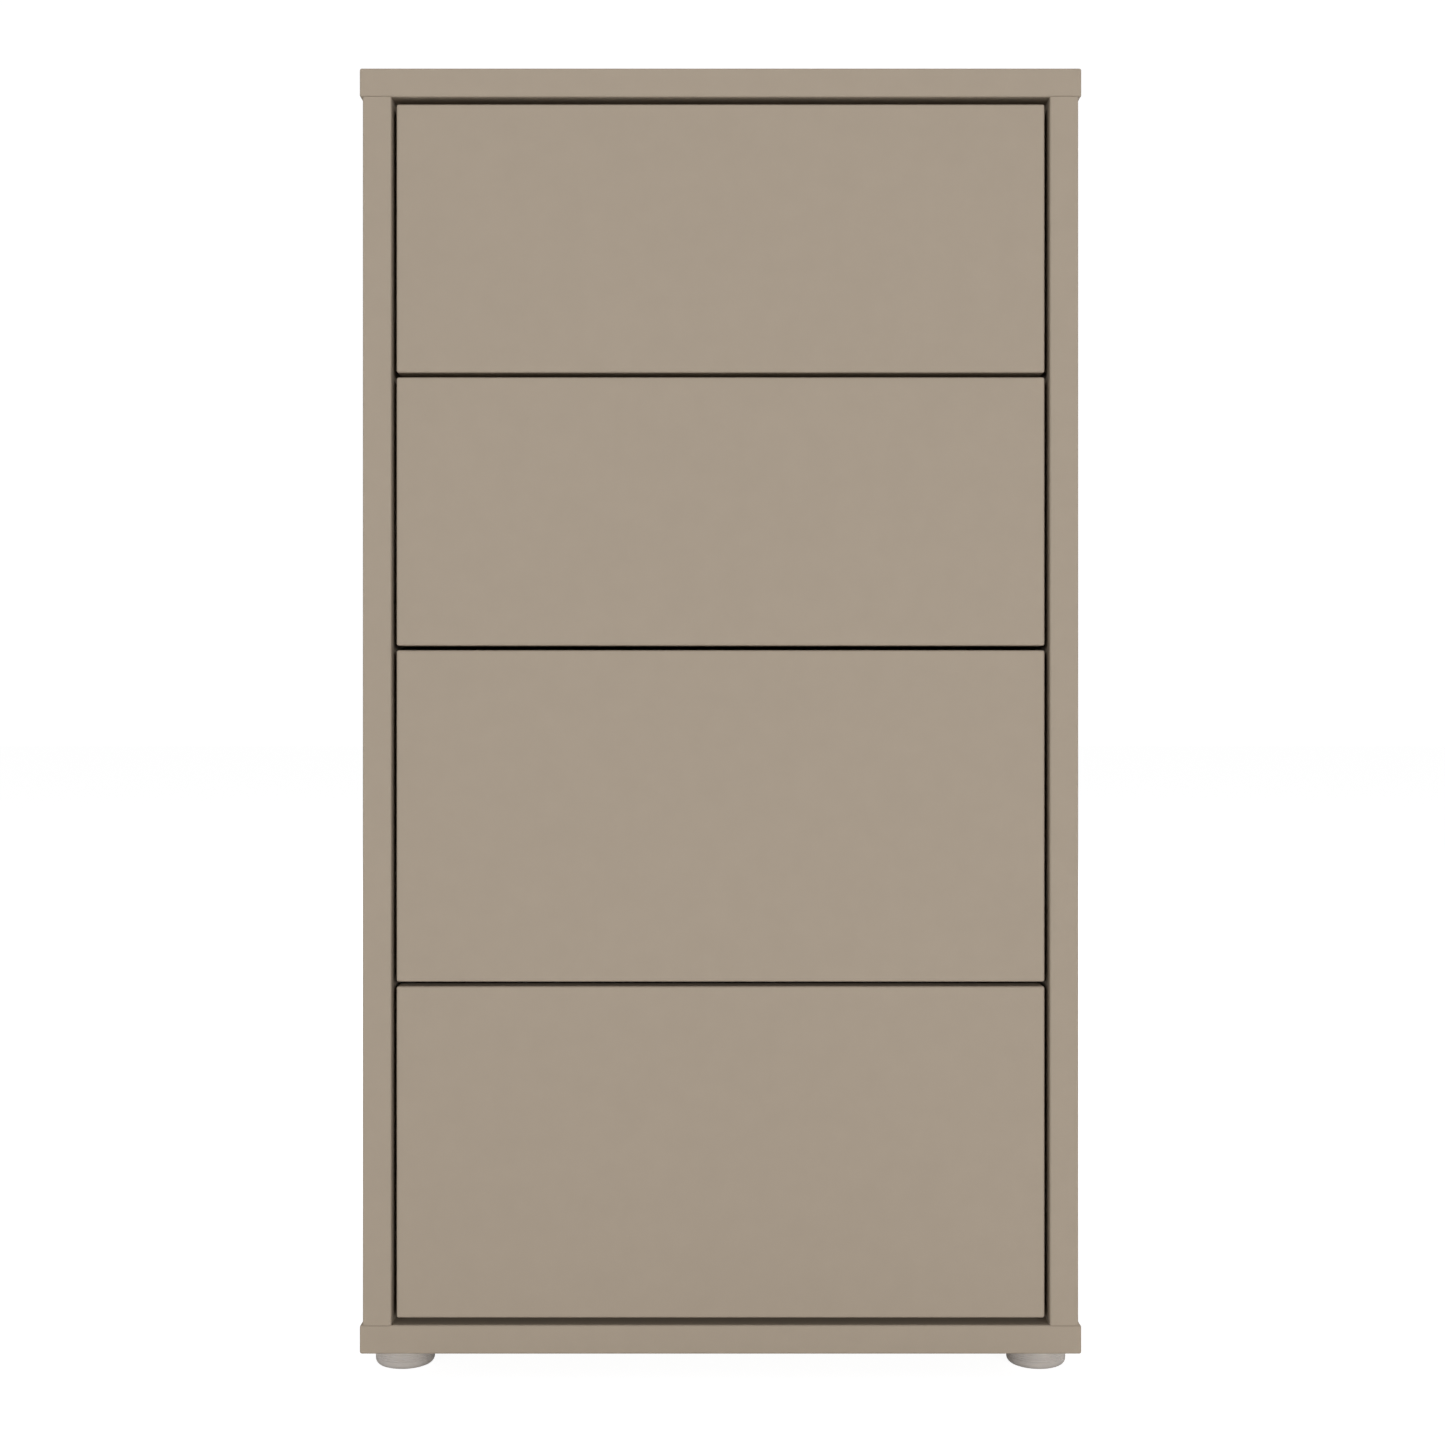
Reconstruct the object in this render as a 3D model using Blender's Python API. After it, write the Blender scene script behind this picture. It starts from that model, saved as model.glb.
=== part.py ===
"""A desk-side cabinet of matt boards, with four push-to-open drawers on telescopic slides.

Metres, +Z up. The origin is on the floor under the middle of the cabinet, and the drawers
open towards -Y. Drawer 1 is the top one.
"""

import math

import bmesh
import bpy
from mathutils import Matrix, Vector

# Cabinet
CABINET_WIDTH = 0.402
CABINET_DEPTH = 0.400
CABINET_HEIGHT = 0.7300
BOARD_THICKNESS = 0.016
BOARD_EDGE_RADIUS = 0.0012
BOARD_EDGE_STEPS = 2  # flats in each rounded edge
SIDE_SETBACK = 0.0017  # how far each side panel stands in from the ends of the top and bottom

# Thin back panel, held in grooves
BACK_THICKNESS = 0.003
BACK_INSET = 0.010  # from the rear edges of the boards
BACK_GROOVE_DEPTH = 0.006

# Feet
FOOT_HEIGHT = 0.0140
FOOT_DIAMETER = 0.0335
FOOT_EDGE_RADIUS = 0.0032
FOOT_INSET_SIDE = 0.0206  # from the cabinet's side to the middle of the foot
FOOT_INSET_FRONT = 0.0320  # from the cabinet's front or rear to the middle of the foot

# Drawer fronts
DRAWERS = 4
SHALLOW_DRAWERS = 2  # the top ones; the deep ones share the height that is left
SHALLOW_FRONT_HEIGHT = 0.1498
FRONT_EDGE_RADIUS = 0.0013
FRONT_RECESS = 0.0020  # behind the front edges of the boards
FRONT_GAP_SIDE = 0.0025
FRONT_GAP_TOP = 0.0034
FRONT_GAP_BOTTOM = 0.0035
FRONT_GAP_BETWEEN = 0.0025

# Drawer boxes
BOX_WALL = 0.012
BOX_EDGE_RADIUS = 0.0006
BOX_RISE = 0.014  # from the bottom of the front to the bottom of the box
BOX_DROP = 0.026  # from the top of the front to the top of the box
BOX_BOTTOM_THICKNESS = 0.004
BOX_BOTTOM_RISE = 0.012  # from the bottom of the box to the underside of its bottom board
BOX_GROOVE_DEPTH = 0.005

# Telescopic slides: each member is a steel channel, the inner one facing the outer two
SLIDE_HEIGHT = 0.0455
SLIDE_AXIS_RISE = 0.040  # from the bottom of the box to the middle of the slide
STEEL_THICKNESS = 0.0012
STEEL_BEND_RADIUS = 0.0018
BALL_DIAMETER = 0.0030
SLIDE_MEMBER_GAP = 0.0009  # between the backs of two members that pass each other
OUTER_MEMBER_DEPTH = 0.0092
MIDDLE_MEMBER_DEPTH = 0.0082
DRAWER_MEMBER_DEPTH = 0.0074
SLIDE_SPACE = 0.0127  # between the side panel and the drawer box

# Push-to-open latch, in the rear of the left slide, and the pin that it holds
PUSH_TRAVEL = 0.003  # how far a closed drawer can be pushed in
LATCH_LENGTH = 0.056
LATCH_WALL = 0.0070
LATCH_PIN_RADIUS = 0.0025
LATCH_PIN_LENGTH = 0.0040

# Fits
SEAM = 0.0003  # wherever two pieces meet
GROOVE_SLACK = 0.0010  # between the edge of a thin board and the floor of its groove
RUNNING_CLEARANCE = 0.0010  # between pieces that pass or stop short of each other
REAR_CLEARANCE = 0.015  # between the slides and the back panel
CUT_OVERRUN = 0.005  # how far a cutter reaches past the face it cuts
ROUND_STEPS = 32  # flats around a foot

# Places that follow from the sizes above
FRONT_PLANE = -CABINET_DEPTH / 2
TOP_UNDERSIDE = CABINET_HEIGHT - BOARD_THICKNESS
BOTTOM_UPSIDE = FOOT_HEIGHT + BOARD_THICKNESS
OPENING_HEIGHT = TOP_UNDERSIDE - BOTTOM_UPSIDE
OPENING_WIDTH = CABINET_WIDTH - 2 * (SIDE_SETBACK + BOARD_THICKNESS)
BACK_FACE = CABINET_DEPTH / 2 - BACK_INSET - BACK_THICKNESS
FRONT_WIDTH = OPENING_WIDTH - 2 * FRONT_GAP_SIDE
FRONT_REAR = FRONT_PLANE + FRONT_RECESS + BOARD_THICKNESS
BOX_WIDTH = OPENING_WIDTH - 2 * SLIDE_SPACE
SLIDE_START = PUSH_TRAVEL + RUNNING_CLEARANCE  # behind the rear face of a closed front
SLIDE_LENGTH = BACK_FACE - REAR_CLEARANCE - FRONT_REAR - SLIDE_START
MIDDLE_MEMBER_LENGTH = SLIDE_LENGTH - LATCH_LENGTH - PUSH_TRAVEL
SIDES = (("left", -1), ("right", 1))


def clear_scene():
    for old in list(bpy.data.objects):
        bpy.data.objects.remove(old, do_unlink=True)


def make_finish(name, colour, roughness, metallic=0.0):
    finish = bpy.data.materials.new(name)
    finish.use_nodes = True
    shader = finish.node_tree.nodes["Principled BSDF"]
    shader.inputs["Base Color"].default_value = (*colour, 1.0)
    shader.inputs["Roughness"].default_value = roughness
    shader.inputs["Metallic"].default_value = metallic
    return finish


def make_frame(name, place):
    """An empty that pieces are parented to; it isn't a piece itself."""
    frame = bpy.data.objects.new(name, None)
    frame.location = place
    bpy.context.collection.objects.link(frame)
    return frame


def place_piece(name, bm, place, parent, finish):
    mesh = bpy.data.meshes.new(name)
    bmesh.ops.recalc_face_normals(bm, faces=bm.faces)
    bm.to_mesh(mesh)
    bm.free()
    if finish:
        mesh.materials.append(finish)
    piece = bpy.data.objects.new(name, mesh)
    piece.location = place
    piece.parent = parent
    bpy.context.collection.objects.link(piece)
    return piece


def block(size):
    """A plain block around its own middle."""
    bm = bmesh.new()
    bmesh.ops.create_cube(bm, size=1.0)
    bmesh.ops.scale(bm, vec=size, verts=bm.verts)
    return bm


def round_edges(bm, edges, radius, segments):
    bmesh.ops.bevel(
        bm,
        geom=edges,
        offset=radius,
        offset_type="OFFSET",
        segments=segments,
        profile=0.5,
        affect="EDGES",
        material=-1,
    )


def edges_along(bm, axis):
    """The edges of a block that run along x (0), y (1) or z (2)."""
    found = []
    for edge in bm.edges:
        run = edge.verts[1].co - edge.verts[0].co
        if abs(run[axis]) == max(abs(part) for part in run):
            found.append(edge)
    return found


def make_board(name, size, middle, parent, finish, radius=0.0, square_ends=None):
    """A board with rounded edges. Its two ends across the axis square_ends are cut square."""
    bm = block(size)
    if radius:
        edges = bm.edges[:] if square_ends is None else edges_along(bm, square_ends)
        round_edges(bm, edges, radius, BOARD_EDGE_STEPS)
    return place_piece(name, bm, middle, parent, finish)


def combine(piece, bm, middle, operation, label):
    """Cuts a shape from the piece, or joins it on; the shape stays as a hidden helper."""
    helper = place_piece(f"{piece.name}_{label}", bm, middle, piece.parent, None)
    helper.hide_render = True
    helper.display_type = "WIRE"
    modifier = piece.modifiers.new(label, "BOOLEAN")
    modifier.operation = operation
    modifier.solver = "EXACT"
    modifier.object = helper


def cut_groove(piece, size, middle, label="groove"):
    combine(piece, block(size), middle, "DIFFERENCE", label)


# Carcass


def make_carcass(finishes):
    carcass = make_frame("carcass", (0, 0, 0))
    groove_width = BACK_THICKNESS + 2 * SEAM
    groove_middle = BACK_FACE + BACK_THICKNESS / 2
    groove_reach = BACK_GROOVE_DEPTH + CUT_OVERRUN
    side_height = OPENING_HEIGHT - 2 * SEAM
    side_middle = (TOP_UNDERSIDE + BOTTOM_UPSIDE) / 2

    for name, face, outward in (
        ("top_panel", TOP_UNDERSIDE, 1),
        ("bottom_panel", BOTTOM_UPSIDE, -1),
    ):
        panel = make_board(
            name,
            (CABINET_WIDTH, CABINET_DEPTH, BOARD_THICKNESS),
            (0, 0, face + outward * BOARD_THICKNESS / 2),
            carcass,
            finishes["board"],
            BOARD_EDGE_RADIUS,
        )
        cut_groove(
            panel,
            (OPENING_WIDTH + 2 * BACK_GROOVE_DEPTH, groove_width, groove_reach),
            (0, groove_middle, face + outward * (BACK_GROOVE_DEPTH - groove_reach / 2)),
        )

    for side, sign in SIDES:
        face = sign * OPENING_WIDTH / 2
        panel = make_board(
            f"side_panel_{side}",
            (BOARD_THICKNESS, CABINET_DEPTH, side_height),
            (face + sign * BOARD_THICKNESS / 2, 0, side_middle),
            carcass,
            finishes["board"],
            BOARD_EDGE_RADIUS,
            square_ends=2,
        )
        cut_groove(
            panel,
            (groove_reach, groove_width, side_height + 2 * CUT_OVERRUN),
            (face + sign * (BACK_GROOVE_DEPTH - groove_reach / 2), groove_middle, side_middle),
        )

    tongue = BACK_GROOVE_DEPTH - GROOVE_SLACK
    make_board(
        "back_panel",
        (OPENING_WIDTH + 2 * tongue, BACK_THICKNESS, OPENING_HEIGHT + 2 * tongue),
        (0, groove_middle, side_middle),
        carcass,
        finishes["back"],
    )
    return carcass


def make_feet(carcass, finish):
    column = FOOT_HEIGHT - SEAM
    for depth_name, depth_sign in (("front", -1), ("rear", 1)):
        for side, sign in SIDES:
            bm = bmesh.new()
            bmesh.ops.create_cone(
                bm,
                cap_ends=True,
                segments=ROUND_STEPS,
                radius1=FOOT_DIAMETER / 2,
                radius2=FOOT_DIAMETER / 2,
                depth=column,
            )
            rim = [edge for edge in bm.edges if all(vert.co.z < 0 for vert in edge.verts)]
            round_edges(bm, rim, FOOT_EDGE_RADIUS, 3)
            place = (
                sign * (CABINET_WIDTH / 2 - FOOT_INSET_SIDE),
                depth_sign * (CABINET_DEPTH / 2 - FOOT_INSET_FRONT),
                column / 2,
            )
            foot = place_piece(f"foot_{depth_name}_{side}", bm, place, carcass, finish)
            foot.data.shade_smooth()


# Drawers


def drawer_layout():
    """The number, height and lower edge of each front, from the top one down."""
    gaps = FRONT_GAP_TOP + FRONT_GAP_BOTTOM + (DRAWERS - 1) * FRONT_GAP_BETWEEN
    deep_total = OPENING_HEIGHT - gaps - SHALLOW_DRAWERS * SHALLOW_FRONT_HEIGHT
    deep_height = deep_total / (DRAWERS - SHALLOW_DRAWERS)
    layout = []
    upper_edge = TOP_UNDERSIDE - FRONT_GAP_TOP
    for number in range(1, DRAWERS + 1):
        height = SHALLOW_FRONT_HEIGHT if number <= SHALLOW_DRAWERS else deep_height
        layout.append((number, height, upper_edge - height))
        upper_edge -= height + FRONT_GAP_BETWEEN
    return layout


def make_drawer_box(number, height, drawer, finishes):
    """The front and box in the drawer's frame: rear face of the front at y 0, its foot at z 0."""
    name = f"drawer_{number}"
    groove_height = BOX_BOTTOM_THICKNESS + 2 * SEAM
    groove_reach = BOX_GROOVE_DEPTH + CUT_OVERRUN
    bottom_low = BOX_RISE + BOX_BOTTOM_RISE
    bottom_middle = bottom_low + BOX_BOTTOM_THICKNESS / 2
    box_height = height - BOX_RISE - BOX_DROP
    box_inside = BOX_WIDTH - 2 * BOX_WALL
    tongue = BOX_GROOVE_DEPTH - GROOVE_SLACK
    box_end = SEAM + SLIDE_LENGTH

    front = make_board(
        f"{name}_front",
        (FRONT_WIDTH, BOARD_THICKNESS, height),
        (0, -BOARD_THICKNESS / 2, height / 2),
        drawer,
        finishes["board"],
        FRONT_EDGE_RADIUS,
    )
    cut_groove(
        front,
        (box_inside + 2 * BOX_GROOVE_DEPTH, groove_reach, groove_height),
        (0, groove_reach / 2 - BOX_GROOVE_DEPTH, bottom_middle),
    )

    for side, sign in SIDES:
        inner_face = sign * box_inside / 2
        wall = make_board(
            f"{name}_side_{side}",
            (BOX_WALL, SLIDE_LENGTH, box_height),
            (inner_face + sign * BOX_WALL / 2, SEAM + SLIDE_LENGTH / 2, BOX_RISE + box_height / 2),
            drawer,
            finishes["box"],
            BOX_EDGE_RADIUS,
            square_ends=1,
        )
        cut_groove(
            wall,
            (groove_reach, SLIDE_LENGTH + 2 * CUT_OVERRUN, groove_height),
            (
                inner_face + sign * (BOX_GROOVE_DEPTH - groove_reach / 2),
                SLIDE_LENGTH / 2,
                bottom_middle,
            ),
        )

    bottom_top = bottom_low + BOX_BOTTOM_THICKNESS + SEAM
    back_height = BOX_RISE + box_height - bottom_top
    make_board(
        f"{name}_back",
        (box_inside - 2 * SEAM, BOX_WALL, back_height),
        (0, box_end - BOX_WALL / 2, bottom_top + back_height / 2),
        drawer,
        finishes["box"],
        BOX_EDGE_RADIUS,
        square_ends=0,
    )
    make_board(
        f"{name}_bottom",
        (box_inside + 2 * tongue, box_end + tongue, BOX_BOTTOM_THICKNESS),
        (0, (box_end - tongue) / 2, bottom_middle),
        drawer,
        finishes["box_bottom"],
    )


# Slides


def channel(back, mouth, half_height, length, lip):
    """A steel channel along +Y, from its back at x to its mouth at x, with lips of that height."""
    inward = 1 if mouth > back else -1
    steel = STEEL_THICKNESS
    upper = [(back, half_height), (mouth, half_height)]
    if lip:
        lip_inner = mouth - inward * steel
        upper += [
            (mouth, half_height - lip),
            (lip_inner, half_height - lip),
            (lip_inner, half_height - steel),
        ]
    else:
        upper.append((mouth, half_height - steel))
    upper.append((back + inward * steel, half_height - steel))
    lower = [(x, -z) for x, z in reversed(upper)]

    bm = bmesh.new()
    outline = bm.faces.new([bm.verts.new((x, 0, z)) for x, z in upper + lower])
    swept = bmesh.ops.extrude_face_region(bm, geom=[outline])["geom"]
    far_end = [item for item in swept if isinstance(item, bmesh.types.BMVert)]
    bmesh.ops.translate(bm, vec=(0, length, 0), verts=far_end)
    bends = [
        edge
        for edge in bm.edges
        if all(abs(vert.co.x - back) < steel / 2 for vert in edge.verts)
        and abs(edge.verts[0].co.z) > half_height - steel / 2
        and abs(edge.verts[0].co.z - edge.verts[1].co.z) < steel
    ]
    round_edges(bm, bends, STEEL_BEND_RADIUS, 3)
    return bm


def mirror_to_side(bm, sign):
    """Channels are drawn for a right-hand slide, seen from the panel; a left one is mirrored."""
    if sign < 0:
        bmesh.ops.scale(bm, vec=(-1, 1, 1), verts=bm.verts)
    return bm


def make_slides(number, drawer, drawer_low, carcass, finishes):
    axis_z = BOX_RISE + SLIDE_AXIS_RISE
    outer_half = SLIDE_HEIGHT / 2
    middle_half = outer_half - STEEL_THICKNESS - BALL_DIAMETER
    inner_half = middle_half - STEEL_THICKNESS - BALL_DIAMETER
    outer_back = SEAM
    middle_back = outer_back + STEEL_THICKNESS + SLIDE_MEMBER_GAP
    drawer_back = SLIDE_SPACE - SEAM
    outer_lip = STEEL_THICKNESS + BALL_DIAMETER / 2

    for side, sign in SIDES:
        # In a slide's own frame, x 0 is the face of the side panel and +x points at the drawer.
        panel_face = sign * OPENING_WIDTH / 2
        start = Vector((panel_face, SLIDE_START, axis_z))
        middle_frame = make_frame(f"slide_{number}_{side}", drawer.location + start)

        outer = channel(outer_back, outer_back + OUTER_MEMBER_DEPTH, outer_half, SLIDE_LENGTH, outer_lip)
        place_piece(
            f"slide_{number}_{side}_cabinet_member",
            mirror_to_side(outer, -sign),
            drawer.location + start,
            carcass,
            finishes["steel"],
        )
        middle = channel(
            middle_back, middle_back + MIDDLE_MEMBER_DEPTH, middle_half, MIDDLE_MEMBER_LENGTH, 0
        )
        place_piece(
            f"slide_{number}_{side}_middle_member",
            mirror_to_side(middle, -sign),
            (0, 0, 0),
            middle_frame,
            finishes["steel"],
        )
        inner = channel(drawer_back, drawer_back - DRAWER_MEMBER_DEPTH, inner_half, SLIDE_LENGTH, 0)
        member = place_piece(
            f"slide_{number}_{side}_drawer_member",
            mirror_to_side(inner, -sign),
            start,
            drawer,
            finishes["steel"],
        )
        if side == "left":
            add_latch(number, start, member, drawer, drawer_back, inner_half, carcass, finishes)


def add_latch(number, start, member, drawer, drawer_back, inner_half, carcass, finishes):
    """A plastic latch in the rear of the slide, and the pin on the drawer that runs in its slot."""
    web_inner = drawer_back - STEEL_THICKNESS
    latch_low = SEAM + STEEL_THICKNESS + SEAM
    latch_high = web_inner - RUNNING_CLEARANCE / 2
    latch_half = inner_half - STEEL_THICKNESS - RUNNING_CLEARANCE
    latch_start = SLIDE_LENGTH - LATCH_LENGTH
    pin_y = SLIDE_LENGTH - LATCH_WALL - PUSH_TRAVEL - RUNNING_CLEARANCE - LATCH_PIN_RADIUS
    slot_floor = web_inner - LATCH_PIN_LENGTH - RUNNING_CLEARANCE / 2
    slot_end = SLIDE_LENGTH - LATCH_WALL
    slot_half = LATCH_PIN_RADIUS + RUNNING_CLEARANCE / 2

    pin = bmesh.new()
    pin_reach = LATCH_PIN_LENGTH + STEEL_THICKNESS / 2
    bmesh.ops.create_cone(
        pin,
        cap_ends=True,
        segments=ROUND_STEPS // 2,
        radius1=LATCH_PIN_RADIUS,
        radius2=LATCH_PIN_RADIUS,
        depth=pin_reach,
        matrix=Matrix.Rotation(math.radians(90), 4, "Y"),
    )
    pin_middle = start + Vector((web_inner - LATCH_PIN_LENGTH + pin_reach / 2, pin_y, 0))
    combine(member, pin, pin_middle, "UNION", "pin")

    latch = make_board(
        f"push_latch_{number}",
        (latch_high - latch_low, LATCH_LENGTH, 2 * latch_half),
        drawer.location + start + Vector(((latch_low + latch_high) / 2, latch_start + LATCH_LENGTH / 2, 0)),
        carcass,
        finishes["latch"],
        BOX_EDGE_RADIUS,
    )
    slot_size = (
        latch_high - slot_floor + CUT_OVERRUN,
        slot_end - latch_start + CUT_OVERRUN,
        2 * slot_half,
    )
    slot_middle = Vector(
        (slot_floor + slot_size[0] / 2, slot_end - slot_size[1] / 2, 0)
    )
    cut_groove(latch, slot_size, drawer.location + start + slot_middle, "slot")


def main():
    clear_scene()
    finishes = {
        "board": make_finish("taupe_board", (0.380, 0.320, 0.255), 0.55),
        "back": make_finish("taupe_back", (0.360, 0.305, 0.245), 0.65),
        "box": make_finish("drawer_box_foil", (0.560, 0.530, 0.490), 0.55),
        "box_bottom": make_finish("drawer_bottom_foil", (0.600, 0.570, 0.530), 0.50),
        "steel": make_finish("zinc_plated_steel", (0.620, 0.630, 0.640), 0.35, 1.0),
        "latch": make_finish("latch_plastic", (0.060, 0.060, 0.065), 0.45),
        "foot": make_finish("foot_plastic", (0.420, 0.390, 0.360), 0.40),
    }
    carcass = make_carcass(finishes)
    make_feet(carcass, finishes["foot"])
    for number, height, low in drawer_layout():
        drawer = make_frame(f"drawer_{number}", (0, FRONT_REAR, low))
        make_drawer_box(number, height, drawer, finishes)
        make_slides(number, drawer, low, carcass, finishes)


main()
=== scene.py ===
"""Looks of a desk-side cabinet: matt taupe boards, four push-to-open drawers, ball-bearing slides."""

import math

import bmesh
import bpy
from mathutils import Matrix, Vector


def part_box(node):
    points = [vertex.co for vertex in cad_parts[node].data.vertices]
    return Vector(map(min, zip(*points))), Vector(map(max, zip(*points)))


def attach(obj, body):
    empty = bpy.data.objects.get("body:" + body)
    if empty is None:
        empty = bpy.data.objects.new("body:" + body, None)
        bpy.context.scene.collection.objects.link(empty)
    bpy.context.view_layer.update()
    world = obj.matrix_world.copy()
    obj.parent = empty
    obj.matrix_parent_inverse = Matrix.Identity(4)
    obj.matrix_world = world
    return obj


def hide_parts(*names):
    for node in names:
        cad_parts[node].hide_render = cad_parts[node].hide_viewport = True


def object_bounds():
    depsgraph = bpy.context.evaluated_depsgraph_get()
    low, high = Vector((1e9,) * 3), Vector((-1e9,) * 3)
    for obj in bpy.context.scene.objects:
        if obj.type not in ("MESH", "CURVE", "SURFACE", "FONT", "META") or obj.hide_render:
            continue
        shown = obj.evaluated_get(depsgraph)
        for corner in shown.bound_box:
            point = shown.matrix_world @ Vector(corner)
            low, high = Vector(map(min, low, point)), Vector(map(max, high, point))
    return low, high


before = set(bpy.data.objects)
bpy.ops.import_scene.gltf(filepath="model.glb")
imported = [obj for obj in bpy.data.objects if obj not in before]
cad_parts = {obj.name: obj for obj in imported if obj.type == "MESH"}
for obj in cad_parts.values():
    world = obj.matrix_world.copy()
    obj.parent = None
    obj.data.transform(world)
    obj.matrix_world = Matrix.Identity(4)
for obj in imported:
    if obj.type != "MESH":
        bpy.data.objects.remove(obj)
cad_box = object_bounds()

# Sizes in metres -------------------------------------------------------------------------------

# Boards
EDGE_STEPS = 4  # flats in a rounded edge
BOARD_RADIUS = 0.0012
FRONT_RADIUS = 0.0013
BOX_RADIUS = 0.0006
THIN_RADIUS = 0.0004
GROOVE_CLEARANCE = 0.0005  # around a thin board in its groove
JOINT = 0.0003  # the seam that a board's closed end reaches across

# Slides: depths run from the panel's face towards the drawer
STEEL = 0.0012
BEND_RADIUS = 0.0012
BEND_STEPS = 4
BALL_RADIUS = 0.00149
BALL_SEGMENTS = 12
BALL_RINGS = 8
BALL_RACE_RADIUS = 0.00215  # of the middle of the steel that curls round a ball
BALL_RACE_STEPS = 6
LIP_ANGLE = -10  # how far the steel curls past a ball's middle, in degrees
OUTER_BALL_DEPTH = 0.0060
INNER_BALL_DEPTH = 0.0078
INNER_BALL_LIFT = 0.00006  # keeps the inner balls off the drawer member
SCREW_SPOTS = (0.037, 0.165, 0.270)  # from a member's front end
SPARE_HOLE_SPOTS = (0.069, 0.101, 0.133, 0.197, 0.229)
SPARE_HOLE_RADIUS = 0.0022
MIDDLE_SLOT_SPOTS = (0.095, 0.145, 0.195)
MIDDLE_SLOT_LENGTH = 0.026
MIDDLE_SLOT_HALF_WIDTH = 0.0050
HOLE_STEPS = 20

# Ball cages
CAGE_SHEET = 0.0004
CAGE_LENGTH = 0.064
CAGE_END = 0.010  # from the middle member's end
CAGE_BALLS = 7  # along each edge
CAGE_REACH = 0.0013  # past the balls' middle, short of the steel's lip
OUTER_CAGE_GAP = 0.00045  # from the steel to the middle of the cage's sheet
INNER_CAGE_GAP = 0.00065

# Latch and its pin
PIN_RADIUS = 0.0025
PIN_DEPTH = 0.0072
PIN_FROM_END = 0.0135
PIN_ROUNDING = 0.0005
LATCH_WALL = 0.0070
LATCH_SLOT_FLOOR = 0.0067
LATCH_SLOT_HALF = 0.0030
LATCH_ROUNDING = 0.0006
LATCH_GROOVES = 4  # across its upper and its lower face
LATCH_GROOVE_START = 0.012
LATCH_GROOVE_PITCH = 0.010
LATCH_GROOVE_LENGTH = 0.004
LATCH_GROOVE_DEPTH = 0.0012
CUT_OVERRUN = 0.001  # how far a groove's cutter reaches past the latch

# Cams and screws
CAM_RADIUS = 0.0060
CAM_ROUNDING = 0.0003
CAM_SLOT_REACH = 0.62  # of the radius
CAM_SLOT_HALF = 0.0009
CAM_SLOT_FLOOR = -0.0006
CAM_FROM_END = 0.024
CARCASS_CAM_FROM_EDGE = 0.045
DRAWER_CAM_MARGIN = 0.024
SCREW_RADIUS = 0.0033
SMALL_SCREW_RADIUS = 0.0028
SCREW_ROUNDING = 0.00025
HEAD_HEIGHT = 0.0010
RECESS_REACH = 0.55  # of the radius
RECESS_HALF = 0.13  # of the radius
RECESS_DEPTH = 0.7  # of the head
BACK_SCREW_RISE = 0.068
BACK_SCREW_DROP = 0.014
BOTTOM_SCREW_HALF_SPAN = 0.085
POCKET_DEPTH = 0.0008
POCKET_CLEARANCE = 0.0001
DISC_STEPS = 24
FINE_DISC_STEPS = 32

# Feet
FOOT_STEPS = 64
FOOT_RIBS = 7
FOOT_RIB_DEPTH = 0.00025
FOOT_TOP_LIP = 0.0010  # plain wall above the first groove
FOOT_PLAIN = 0.0014  # of the wall's height that has no ribs
FOOT_GROOVE_SHARES = (0.15, 0.35, 0.50)  # of the pitch: its floor starts, its floor ends, it ends
FOOT_CHAMFER = 0.0004
FOOT_ROUNDING = 0.0032
FOOT_ROUNDING_STEPS = 6
FOOT_HOLE_RADIUS = 0.0058
FOOT_HOLE_DEPTH = 0.0040
MERGE_DISTANCE = 1e-6  # between points of the turned profile that meet

# Stage
FLOOR_HALF_SIZE = 30.0
FLOOR_GAP = 0.0002  # under the feet
FLOOR_TONE = 0.86
FLOOR_GLOW = 1.38
FLOOR_GLOW_SHARE = 0.68  # of what the camera sees of the floor
WORLD_LIGHT = 0.20
WORLD_SEEN = 1.02  # the background's strength for the camera
LENS = 50.0
SENSOR_WIDTH = 36.0
CAMERA_SIDE = 0.0011
CAMERA_DISTANCE = 1.1172  # in front of the cabinet
CAMERA_HEIGHT = 0.36565
CABINET_MIDDLE = (0, 0, 0.36)
# Name, place, what it points at, size and power in watts
LIGHTS = (
    ("key_right", (4.2, -9.5, 1.6), CABINET_MIDDLE, 2.2, 415.0),
    ("key_left", (-4.2, -9.5, 1.6), CABINET_MIDDLE, 2.2, 284.0),
    ("side_right", (4.4, 1.2, 2.6), CABINET_MIDDLE, 2.4, 38.0),
    ("side_left", (-4.4, 1.2, 2.6), CABINET_MIDDLE, 2.4, 38.0),
    ("rim", (0.6, 3.4, 2.2), (0, 0, 0.4), 1.8, 60.0),
    ("overhead", (0.0, 0.4, 4.0), (0, 0, 0.7), 2.4, 40.0),
)

SIDES = (("left", -1), ("right", 1))
DRAWERS = (1, 2, 3, 4)


# Mesh helpers ----------------------------------------------------------------------------------


def block(low, high):
    bm = bmesh.new()
    bmesh.ops.create_cube(bm, size=1.0)
    low, high = Vector(low), Vector(high)
    bmesh.ops.scale(bm, vec=high - low, verts=bm.verts)
    bmesh.ops.translate(bm, vec=(low + high) / 2, verts=bm.verts)
    return bm


def round_edges(bm, edges, radius, steps=EDGE_STEPS):
    bmesh.ops.bevel(
        bm,
        geom=edges,
        offset=radius,
        offset_type="OFFSET",
        segments=steps,
        profile=0.5,
        affect="EDGES",
        material=-1,
    )


def edges_along(bm, axis):
    """The edges of a block that run along x (0), y (1) or z (2)."""
    found = []
    for edge in bm.edges:
        run = edge.verts[1].co - edge.verts[0].co
        if abs(run[axis]) == max(abs(part) for part in run):
            found.append(edge)
    return found


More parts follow.
